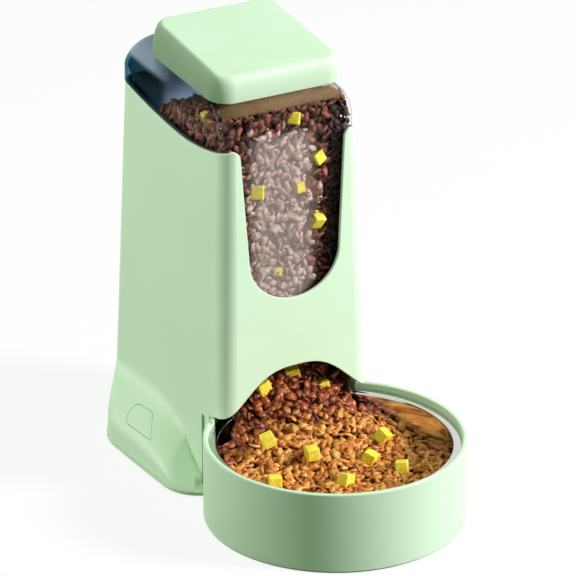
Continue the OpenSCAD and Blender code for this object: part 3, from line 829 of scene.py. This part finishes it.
def clear_plastic(name):
    """Smoky clear moulding: darker towards its back, with thin films of colour in places: a painted
    highlight, painted reflections, painted shade and a tan lip.
    """
    n = nodes(name)
    x, y, z = n.split()
    depth = n.reach(y, 0.060, 0.150)
    body = n.shader(
        Transmission_Weight=1.0, IOR=1.46, Specular_Tint=(0.22, 0.25, 0.28, 1), Roughness=0.02,
        Base_Color=n.ramp(depth, [(0.0, (0.93, 0.95, 0.96, 1)), (0.35, (0.60, 0.74, 0.80, 1)),
                                  (0.75, (0.12, 0.26, 0.34, 1)), (1.0, (0.07, 0.18, 0.25, 1))]),
        Normal=n.bump(n.noise(70.0, 1.0), 0.02, 0.0003))
    through_it = n.shader("BsdfTransparent", Color=n.ramp(depth, [
        (0.0, (0.97, 0.975, 0.98, 1)), (0.35, (0.80, 0.88, 0.91, 1)),
        (0.75, (0.40, 0.65, 0.73, 1)), (1.0, (0.36, 0.61, 0.70, 1))]))
    shadow = n.new("ShaderNodeLightPath").outputs["Is Shadow Ray"]
    look = n.mix(n.maths("MAXIMUM", shadow, STRAIGHT), body, through_it)
    cloud = n.noise(30.0, 3.0)

    def film(dark, light):
        return n.shader("BsdfDiffuse", Color=n.tones(cloud, dark, light))

    # painted highlight: a pale pinkish band of reflected light over the food behind the window
    highlight_band = n.times(n.times(n.reach(x, -0.036, -0.020), n.reach(x, 0.024, 0.008)),
                   n.times(n.reach(y, 0.012, 0.006), n.reach(z, 0.262, 0.252)))
    look = n.mix(n.times(highlight_band, 0.16), look, film(srgb(226, 204, 198), srgb(240, 222, 216)))
    # tan lip under the front of the lid
    lip = n.times(n.reach(y, 0.016, 0.010), n.reach(z, 0.2752, 0.2768))
    look = n.mix(n.times(lip, 0.36), look, film(srgb(154, 120, 84), srgb(178, 146, 110)))
    # painted shade: teal at the sides of the back wall, where the shaded shell shows through;
    # painted reflection: lavender in its middle and where the shoulder turns over
    lavender_reflection = film(srgb(158, 170, 200), srgb(180, 192, 218))
    wide = n.maths("ABSOLUTE", x)
    back = n.reach(y, 0.128, 0.133)
    teal_shade = n.times(back, n.reach(wide, 0.016, 0.024))
    look = n.mix(n.times(teal_shade, 0.55), look, film(srgb(40, 92, 110), srgb(54, 108, 126)))
    level = n.maths("MULTIPLY_ADD", y, -SLOPE, z)
    deck = DECK_H - SLOPE * HOP_Y0
    turn = n.times(n.reach(level, (deck - 14) * MM, (deck - 9) * MM), n.reach(y, 0.070, 0.105))
    look = n.mix(n.times(turn, 0.75), look, lavender_reflection)
    look = n.mix(n.times(n.times(back, n.reach(wide, 0.024, 0.016)), 0.8), look, lavender_reflection)
    # painted reflection: lavender on walls seen edge on
    facing = n.fill(n.new("ShaderNodeLayerWeight"), [("Blend", 0.5)], "Facing")
    return n.done(n.mix(n.times(n.reach(facing, 0.62, 0.84), 0.8), look, lavender_reflection))


def metal(name, low, high, rough_lo, rough_hi, grain):
    n = nodes(name)
    patch = n.noise(grain, 3.0)
    return n.done(n.shader(
        Metallic=1.0, Base_Color=n.tones(n.noise(40.0, 3.0), low, high),
        Roughness=n.spread(patch, rough_lo, rough_hi), Normal=n.bump(patch, 0.03, 0.00005)))


def food(name, dark, mid, light, rough, scale=420.0, bump=0.5):
    n = nodes(name)
    tones = [(0.3, srgb(*dark)), (0.5, srgb(*mid)), (0.72, srgb(*light))]
    fine = n.noise(scale * 3, 3.0, 0.6)
    return n.done(n.shader(
        Base_Color=n.ramp(n.noise(scale, 4.0, 0.6), tones),
        Roughness=n.spread(fine, rough, rough + 0.2), Normal=n.bump(fine, bump, 0.0004)))


def foods(word, *kinds):
    return [food(f"{word}_{'abcd'[i]}", *kind) for i, kind in enumerate(kinds)]


MINT = srgb(208, 234, 203), srgb(213, 238, 210), 0.42, 0.52
mint = moulded("mint_plastic", *MINT)
shell_mint = moulded("mint_plastic_shell", *MINT, SEAM_SHADOW_COLOUR)
clear = clear_plastic("clear_plastic")
steel = metal("polished_steel", (0.60, 0.60, 0.58, 1), (0.68, 0.68, 0.66, 1), 0.07, 0.14, 300.0)
spring_steel = metal("spring_steel", (0.42, 0.42, 0.43, 1), (0.52, 0.52, 0.53, 1), 0.25, 0.4, 900.0)
silicone = moulded("silicone", srgb(214, 220, 214), srgb(226, 230, 226), 0.45, 0.6)
# painted shade: the chute dark, as in the shade under the arch
umber_plastic = moulded("chute_plastic", srgb(46, 36, 30), srgb(58, 46, 38), 0.5, 0.65)
rubber = moulded("foot_rubber", srgb(40, 43, 42), srgb(56, 60, 58), 0.6, 0.8)

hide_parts("tower_shell")
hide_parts("hopper")
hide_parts("lid_cover")
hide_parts("steel_bowl")
for ob, mat, slot in ((shell, shell_mint, "mint_plastic"), (hopper, clear, "clear_plastic"),
                      (lid, mint, "mint_plastic"), (bowl, steel, "polished_steel")):
    ob.data.materials.clear()
    ob.data.materials.append(mat)
    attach(ob, "root")

CAD_LOOK = {"feed_chute": umber_plastic, "lid_seal": silicone, "retainer_screws": spring_steel}
for name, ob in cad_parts.items():
    if name in ("tower_shell", "hopper", "lid_cover", "steel_bowl") or "spring" in name:
        continue
    ob.data.materials.clear()
    ob.data.materials.append(CAD_LOOK.get(name, rubber if name.startswith("foot_") else mint))
    smooth(ob.data)
    for p in ob.data.polygons:
        p.material_index = 0
    weld = ob.modifiers.new("weld", "WELD")
    weld.merge_threshold = 0.01 * MM
    bev = ob.modifiers.new("edge", "BEVEL")
    bev.width = 0.3 * MM
    bev.segments = 2
    bev.limit_method = "ANGLE"
    bev.angle_limit = math.radians(40)
    bev.harden_normals = False
    weighted(ob)

# the return springs, as copies of their CAD meshes
for side in ("left", "right"):
    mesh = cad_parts["button_spring_" + side].data
    points = [tuple(c / MM for c in v.co) for v in mesh.vertices]
    coil = new_object("coil_" + side, points, [tuple(p.vertices) for p in mesh.polygons])
    coil.data.materials.append(spring_steel)
    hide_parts("button_spring_" + side)
    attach(coil, "root")
    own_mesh(coil)

# Camera

AIM = Vector((0, 1.4, 143.7)) * MM
TH, EL, DIST = math.radians(30.9), math.radians(23.6), 2.392
LENS, SENSOR, FRAME = 218.75, 36.0, 576
toward_cam = Vector((-math.sin(TH) * math.cos(EL), -math.cos(TH) * math.cos(EL), math.sin(EL)))
cam_data = bpy.data.cameras.new("camera")
cam = place("camera", cam_data)
cam.location = AIM + toward_cam * DIST
cam.rotation_euler = (-toward_cam).to_track_quat("-Z", "Y").to_euler()
cam_data.lens = LENS
cam_data.sensor_width = SENSOR
cam_data.clip_end = 20.0
bpy.context.scene.camera = cam
cam_rot = cam.rotation_euler.to_matrix()


def on_plane(px, py, point, normal):
    """Where the camera's ray through a point of the frame meets a plane, in millimetres."""
    k = SENSOR / LENS / FRAME
    d = (cam_rot @ Vector(((px - FRAME / 2) * k, (FRAME / 2 - py) * k, -1.0))).normalized()
    o = cam.location / MM
    n = Vector(normal)
    return o + d * ((Vector(point) - o).dot(n) / d.dot(n))


# Kibble


def ball(level):
    bm = bmesh.new()
    bmesh.ops.create_icosphere(bm, subdivisions=level, radius=1.0)
    v = np.array([x.co[:] for x in bm.verts])
    bm.faces.ensure_lookup_table()
    f = np.array([[y.index for y in x.verts] for x in bm.faces])
    bm.free()
    return v, f


def flake_shapes(kinds, level):
    """Flat rounded chips with a thick rim, a dimple and a slight bend."""
    v, f = ball(level)
    out = []
    for k in range(kinds):
        r = np.hypot(v[:, 0], v[:, 1])
        ang = np.arctan2(v[:, 1], v[:, 0])
        p = rng.uniform(0, 6.28, 3)
        grow = 1 + 0.08 * np.sin(2 * ang + p[0]) + 0.06 * np.sin(3 * ang + p[1])
        w = v.copy()
        w[:, 0] *= grow * rng.uniform(1.3, 1.6)
        w[:, 1] *= grow * rng.uniform(0.74, 0.92)
        thick = 0.3 * (0.62 + 0.5 * r ** 2)
        w[:, 2] = v[:, 2] * thick + 0.1 * w[:, 0] ** 2 * rng.uniform(-1, 1)
        out.append(w)
    return out, f


def frames(normals, tilt):
    """A random turn about each normal, with the normal itself tilted."""
    n = normals + rng.normal(0, tilt, normals.shape)
    n /= np.linalg.norm(n, axis=1)[:, None]
    h = rng.normal(0, 1, n.shape)
    a = np.cross(n, h)
    a /= np.linalg.norm(a, axis=1)[:, None]
    b = np.cross(n, a)
    return np.stack([a, b, n], axis=2)


def scatter(name, places, normals, size, tilt, mats, shapes):
    """One mesh of many chips. places and normals are arrays in millimetres."""
    rot = frames(normals, tilt)
    n = len(places)
    kinds = rng.integers(0, len(shapes), n)
    base = np.stack(shapes)[kinds]
    scale = size * (1 + rng.normal(0, 0.18, n)).clip(0.6, 1.5)
    pts = np.einsum("nij,nvj->nvi", rot, base * scale[:, None, None]) + places[:, None, :]
    first = np.arange(n) * base.shape[1]
    faces = (chip_faces[None, :, :] + first[:, None, None]).reshape(-1, 3)
    mesh = bpy.data.meshes.new(name)
    mesh.from_pydata(pts.reshape(-1, 3) * MM, [], faces)
    for m in mats:
        mesh.materials.append(m)
    index = np.repeat(rng.integers(0, len(mats), n), len(chip_faces)).astype(np.int32)
    mesh.polygons.foreach_set("material_index", index)
    mesh.polygons.foreach_set("use_smooth", np.ones(len(faces), dtype=bool))
    mesh.update()
    ob = place(name, mesh)
    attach(ob, "root")


def hexes(x0, x1, y0, y1, d):
    """Plan points about d apart in staggered rows, each moved at random."""
    out, row, y = [], 0, y0
    while y <= y1:
        x = x0 + (d / 2 if row % 2 else 0)
        while x <= x1:
            out.append((x + rng.uniform(-0.4, 0.4) * d, y + rng.uniform(-0.4, 0.4) * d))
            x += d
        y += d * 0.87
        row += 1
    return np.array(out)


def upward(height, g):
    """Unit normals of a height field over the plan points g."""
    x, y = g[:, 0], g[:, 1]
    e = 0.5
    n = np.column_stack([(height(x - e, y) - height(x + e, y)) / (2 * e),
                         (height(x, y - e) - height(x, y + e)) / (2 * e), np.ones(len(g))])
    return n / np.linalg.norm(n, axis=1)[:, None]


# painted light: paler copies of the food, for the food lit behind the window
pale_lit = foods("kibble_pale",
             ((88, 54, 46), (212, 174, 162), (248, 228, 222), 0.42),
             ((70, 40, 33), (196, 156, 144), (238, 214, 206), 0.44),
             ((108, 70, 60), (222, 190, 180), (250, 234, 230), 0.42))
brown = foods("kibble",
              ((46, 18, 10), (114, 55, 33), (178, 106, 72), 0.46),
              ((36, 14, 8), (92, 43, 25), (152, 86, 57), 0.48),
              ((62, 26, 14), (136, 69, 43), (198, 127, 90), 0.44),
              ((26, 10, 6), (68, 30, 17), (118, 63, 41), 0.54))
# painted shade: darker copies of the food, for the far layer and the window's right edge
dim = foods("kibble_dim",
            ((26, 11, 7), (62, 31, 22), (98, 56, 42), 0.6),
            ((20, 8, 5), (46, 22, 15), (76, 42, 31), 0.6))
golden = foods("kibble_gold",
               ((156, 78, 16), (226, 150, 62), (250, 200, 118), 0.4),
               ((134, 60, 10), (212, 132, 46), (242, 184, 96), 0.42),
               ((170, 92, 26), (234, 164, 78), (252, 214, 140), 0.4),
               ((110, 44, 8), (190, 106, 34), (228, 158, 76), 0.44))
# painted shade: darker, redder copies of the bowl food, for the food in the shade near and under
# the arch
umber_shaded = foods("kibble_umber",
              ((58, 18, 6), (148, 66, 28), (218, 126, 66), 0.26),
              ((44, 14, 5), (122, 52, 20), (194, 106, 52), 0.28),
              ((78, 28, 10), (172, 84, 38), (232, 148, 84), 0.26))
# painted shade: a dark brown for the bodies of food under the chips, the shade in their gaps
gap_shade_brown = food("kibble_bed", (20, 9, 6), (36, 17, 11), (54, 28, 18), 0.8, 260.0, 0.8)
yellow = food("yellow_cube", (240, 202, 28), (252, 230, 66), (255, 244, 124), 0.4, 300.0, 0.3)

chips, chip_faces = flake_shapes(6, 1)
wide_chips = [w * np.array([0.82, 1.12, 1.25]) for w in chips]


def heap(x, y):
    """Height of the food inside the hopper."""
    h = 277.5 - 22.0 * (np.maximum(y, 0) / 100.0) ** 1.6 - 0.0012 * x ** 2
    return h - 0.03 * np.maximum(0, y - 92) ** 2


FRONT_IN = HOP_Y0 + HOP_WALL
# inside these bounds the food behind the window is painted pale, as in light
LIT_X, LIT_HALF, LIT_TOP = -6, 23, 258   # the pale food behind the window
# beyond DARK_X the food is painted dark, as shade at the window's edge
DARK_X = 31                              # the dark food at its right edge

# against the front wall of the hopper, in two depths, the far one mostly in darker copies as
# painted shade
for layer, (depth, spacing, tilt) in enumerate(((2.4, 5.2, 0.4), (5.2, 4.8, 0.6))):
    g = hexes(-44.5, 44.5, 126, 274, spacing)
    g = g[g[:, 1] < heap(g[:, 0], 0) - 3]
    n = len(g)
    p = np.column_stack([g[:, 0], FRONT_IN + depth + rng.uniform(-0.3, 1.3, n), g[:, 1]])
    nrm = np.tile([0, -1, 0], (n, 1))
    edge = g[:, 0] + rng.normal(0, 1.2, n) > DARK_X
    lit = (np.abs(g[:, 0] - LIT_X + rng.normal(0, 3.5, n)) < LIT_HALF) & ~edge
    lit &= g[:, 1] < LIT_TOP + rng.normal(0, 4, n)
    plain = ~edge & ~lit
    near = layer == 0
    for word, part, size, mats in (
            ("front", plain, 3.4, brown if near else dim),
            ("lit", lit, 3.5, pale_lit if near else brown[1:2] + brown[3:]),
            ("corner", edge, 3.0, dim)):
        scatter(f"kibble_{word}_{layer}", p[part], nrm[part], size, tilt, mats, chips)

# against the two side walls, near and above the rim
for s, word in ((-1, "left"), (1, "right")):
    g = hexes(4, 128, 232, 276, 4.3)
    g = g[g[:, 1] < heap(46.0, g[:, 0]) + 0.5]
    x = np.where(g[:, 1] > 250, side_x(256) - STEP - HOP_WALL - 3.2, HOP_X - HOP_WALL - 2.6)
    k = np.maximum(0, g[:, 1] - 262 - SLOPE * g[:, 0]) / 20
    p = np.column_stack([s * (x - 9 * k ** 2), g[:, 0], g[:, 1]])
    scatter(f"kibble_side_{word}", p, np.tile([s, 0, 0.15], (len(g), 1)), 3.0, 0.45, brown, chips)

# on top of the heap
for layer, (down, spacing, tilt) in enumerate(((0.0, 4.2, 0.4), (2.6, 4.8, 0.6))):
    g = hexes(-46, 46, 3, 132, spacing)
    p = np.column_stack([g[:, 0], g[:, 1], heap(g[:, 0], g[:, 1]) - 1 - down])
    keep = (p[:, 2] < 275 + SLOPE * p[:, 1]) & (p[:, 2] > 190)
    keep &= np.abs(p[:, 0]) < np.where(p[:, 2] > 262, 44, 46)
    scatter(f"kibble_heap_{layer}", p[keep], upward(heap, g)[keep], 3.0, tilt, brown, chips)


def hopper_core():
    """The body of food behind the chips in the hopper, dark as painted shade in the gaps."""
    xs = np.linspace(-43.5, 43.5, 30)
    ys = np.linspace(FRONT_IN + 5.5, 130, 40)
    verts = [(x, y, float(heap(x, y)) - 5.0) for y in ys for x in xs]
    nx, ny, start = len(xs), len(ys), len(verts)
    corners = [j * nx + i for j in range(ny - 1) for i in range(nx - 1)]
    faces = [(a, a + 1, a + nx + 1, a + nx) for a in corners]
    edge = list(range(nx)) + [nx - 1 + nx * j for j in range(1, ny)]
    edge += [(ny - 1) * nx + i for i in range(nx - 2, -1, -1)]
    edge += [nx * j for j in range(ny - 2, 0, -1)]
    verts += [(verts[i][0], min(verts[i][1], 84.0), 132.0) for i in edge]
    n = len(edge)
    for k in range(n):
        faces.append((edge[k], edge[(k + 1) % n], start + (k + 1) % n, start + k))
    faces.append(tuple(start + k for k in range(n)))
    return new_object("kibble_hopper_core", verts, faces)


core = hopper_core()
core.data.materials.append(gap_shade_brown)
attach(core, "root")


def bed(x, y):
    """Height of the food in the bowl and on the chute."""
    d = np.hypot(x * 0.62, np.minimum(y + 6, 0))
    mound = 33.0 * np.clip(1 - d / 66.0, 0, 1) ** 1.25
    inner = 67.0 + 0.7 * (y + 6) - 0.0045 * x ** 2
    k = np.clip((y + 22) / 16, 0, 1)
    k = k * k * (3 - 2 * k)
    z = (34.0 + mound) * (1 - k) + inner * k
    return z + 1.2 * np.sin(x * 0.13 + 1) * np.cos(y * 0.11)


CHUTE_Y = -16.0   # the bowl's food ends and the chute's begins


def bed_points(spacing, rows):
    """Points and normals over the bowl and the chute, in the rows that are asked for."""
    g = hexes(-78, 78, -140, 30, spacing)
    x, y = g[:, 0], g[:, 1]
    z = bed(x, y)
    r = np.hypot(x, y - RING_Y)
    lim = 76.5 - (50 - z) * 0.22
    inside = np.where(y < -12, r < lim, np.abs(x) < 41.5)
    inside &= ~((y >= -12) & (r > lim) & (y < 1))
    inside |= (y >= CHUTE_Y) & (y < 30) & (np.abs(x) < np.where(y < -1, 47.5, 41.5))
    inside &= rows(y)
    return np.column_stack([x, y, z])[inside], upward(bed, g)[inside]


for layer, (down, spacing, tilt) in enumerate(((0.0, 4.8, 0.42), (2.6, 5.0, 0.62))):
    p, n = bed_points(spacing, lambda y: y < CHUTE_Y)
    # painted shade: the food near the arch and on the chute takes the umber copies
    near = p[:, 1] - 0.1 * np.abs(p[:, 0]) + rng.normal(0, 5, len(p)) > -28
    p[:, 2] -= 1.2 + down
    scatter(f"kibble_bowl_{layer}", p[~near], n[~near], 3.3, tilt, golden, chips)
    scatter(f"kibble_mound_{layer}", p[near], n[near], 3.6, tilt, umber_shaded + golden[1:2], chips)
    p, n = bed_points(spacing * 1.15, lambda y: y >= CHUTE_Y)
    p[:, 2] -= 1.4 + down
    scatter(f"kibble_chute_{layer}", p, n, 4.0, tilt, umber_shaded, wide_chips)


def bowl_core():
    """The sheet under the chips in the bowl and on the chute, dark as painted shade in the gaps."""
    xs = np.linspace(-74, 74, 60)
    ys = np.linspace(-135, 30, 66)
    verts, faces, index = [], [], {}
    for j, y in enumerate(ys):
        for i, x in enumerate(xs):
            z = float(bed(x, y)) - 5.2
            r = math.hypot(x, y - RING_Y)
            if (y < -8 and r < 71 - (50 - z) * 0.22) or (y >= -20 and abs(x) < 37):
                index[i, j] = len(verts)
                verts.append((x, y, z))
    for j in range(len(ys) - 1):
        for i in range(len(xs) - 1):
            k = [(i, j), (i + 1, j), (i + 1, j + 1), (i, j + 1)]
            if all(q in index for q in k):
                faces.append(tuple(index[q] for q in k))
    return new_object("kibble_bowl_core", verts, faces, closed=False)


core = bowl_core()
core.data.materials.append(gap_shade_brown)
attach(core, "root")


def cubes(name, spots, size):
    """Soft-edged yellow cubes, each turned its own way."""
    bm = bmesh.new()
    for p, q in spots:
        got = bmesh.ops.create_cube(bm, size=size * q * MM)["verts"]
        edges = list({e for v in got for e in v.link_edges})
        out = bmesh.ops.bevel(bm, geom=edges + got, offset=0.13 * size * MM, segments=3,
                              profile=0.6, affect="EDGES")
        turns = [Matrix.Rotation(random.uniform(-a, b), 4, axis)
                 for a, b, axis in ((0, 6.28, "Z"), (0.5, 0.5, "X"), (0.4, 0.4, "Y"))]
        m = Matrix.Translation(Vector(p) * MM) @ turns[0] @ turns[1] @ turns[2]
        for v in {v for f in out["faces"] for v in f.verts}:
            v.co = m @ v.co
    mesh = bpy.data.meshes.new(name)
    bm.to_mesh(mesh)
    bm.free()
    smooth(mesh)
    mesh.materials.append(yellow)
    ob = place(name, mesh)
    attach(ob, "root")
    weighted(ob)


# the cubes' places in the camera's frame: on the bed, in the arch and behind the window
spots = []
for px, py in ((268, 440), (312, 453), (275, 482), (346, 480), (370, 458), (383, 436), (402, 467)):
    z = 38.0
    for _ in range(12):
        q = on_plane(px, py, (0, 0, z), (0, 0, 1))
        z = float(bed(np.float64(q.x), np.float64(q.y))) + 1.5
    spots.append((q, 1.0))
cubes("yellow_cubes_bowl", spots, 9.0)
cubes("yellow_cubes_arch", [
    (on_plane(px, py, (0, depth, 0), (0, 1, 0)), 1.0)
    for px, py, depth in ((262, 387, 5.5), (292, 371, 8.0), (322, 386, 2.5))], 10.0)
spots = [(on_plane(px, py, (0, FRONT_IN + 3.4, 0), (0, 1, 0)), k) for px, py, k in (
    (298, 187, 0.8), (257, 192, 1.0), (316, 219, 1.0), (277, 271, 0.65), (317, 157, 0.9),
    (294, 118, 0.9))]
spots.append((on_plane(206, 116, (-(side_x(256) - 6.5), 0, 0), (1, 0, 0)), 0.6))
cubes("yellow_cubes_hopper", spots, 9.5)

# Floor and light


def world_light():
    """White to the camera, in reflections and through glass. A dim green to all else."""
    world = bpy.data.worlds.new("studio")
    bpy.context.scene.world = world
    n = Nodes(world, "World")
    path = n.new("ShaderNodeLightPath").outputs
    seen = n.maths("MAXIMUM", path["Is Camera Ray"], path["Is Glossy Ray"])
    seen = n.maths("MAXIMUM", seen, path["Is Transmission Ray"])
    n.done(n.mix(seen, n.shader("Background", Color=(0.64, 1.0, 0.55, 1), Strength=0.265),
                 n.shader("Background", Color=(1, 1, 1, 1), Strength=1.0)))


VEIL = 0.86   # how much of the floor that the camera sees is plain white


def floor_white():
    """A white floor that sends back less light, and takes full shade only under the feeder."""
    n = nodes("floor_white")
    path = n.new("ShaderNodeLightPath").outputs
    cloud = n.noise(6.0, 2.0)
    white = n.tones(cloud, (0.94, 0.94, 0.94, 1), (0.97, 0.97, 0.97, 1))
    grey = n.tones(cloud, (0.11, 0.14, 0.10, 1), (0.14, 0.17, 0.13, 1))
    body = n.shader(Base_Color=n.pick(path["Is Diffuse Ray"], white, grey), Roughness=0.6)
    x, y, _ = n.split()
    plate = n.times(n.times(n.reach(x, -82.5 * MM, -81.5 * MM), n.reach(x, 82.5 * MM, 81.5 * MM)),
                    n.times(n.reach(y, 28 * MM, 32 * MM), n.reach(y, 92 * MM, 86 * MM)))
    away = n.fill(n.new("ShaderNodeVectorMath", operation="DISTANCE"),
                  ((0, n.at), (1, (0, RING_Y * MM, 0))), "Value")
    under = n.maths("MAXIMUM", plate, n.reach(away, RING_R * MM, (RING_R - 1.5) * MM))
    clear_of = n.maths("MULTIPLY_ADD", under, -1.0, 1.0)
    share = n.times(n.times(path["Is Camera Ray"], clear_of), VEIL)
    return n.done(n.mix(share, body, n.shader("Emission", Color=(1, 1, 1, 1), Strength=1.0)))


def area(name, spot, aim, size, power, tint=(1.0, 1.0, 1.0)):
    d = bpy.data.lights.new(name, "AREA")
    d.shape = "DISK"
    d.size = size
    d.energy = power
    d.color = tint
    lamp = place(name, d)
    lamp.location = spot
    lamp.rotation_euler = (Vector(aim) - Vector(spot)).to_track_quat("-Z", "Y").to_euler()
    return lamp


def linked(lamp, name, obs):
    """Let a lamp light only the objects of a new collection."""
    group = bpy.data.collections.new(name)
    for ob in obs:
        group.objects.link(ob)
    lamp.light_linking.receiver_collection = group
    return group


world_light()
FLOOR_R, FLOOR_N = 6.0, 64
mesh = bpy.data.meshes.new("floor")
turn = [2 * math.pi * i / FLOOR_N for i in range(FLOOR_N)]
mesh.from_pydata([(FLOOR_R * math.cos(a), FLOOR_R * math.sin(a), 0) for a in turn], [],
                 [tuple(range(FLOOR_N))])
mesh.materials.append(floor_white())
floor = place("floor", mesh)

area("key", (1.98, -1.80, 1.56), (0, 0, 0.12), 0.7, 112, (1.0, 0.955, 1.025))
fill = area("fill", (-2.2, 1.75, 0.42), (0, 0, 0.14), 0.8, 36, (1.0, 1.0, 0.96))
area("top", (-0.5, 0.3, 2.6), (0, 0, 0.2), 0.9, 14)
corner = area("corner", (-1.5, -2.0, 0.9), (0, 0, 0.15), 0.9, 8)
# the fill lights everything but the lid, the corner lamp only the shell and its buttons
but_lid = linked(fill, "not_lit_by_fill", [lid])
but_lid.collection_objects[0].light_linking.link_state = "EXCLUDE"
linked(corner, "lit_by_corner", [shell] + [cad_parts["release_button_" + s]
                                           for s in ("left", "right")])

bpy.context.scene.view_settings.view_transform = "Standard"
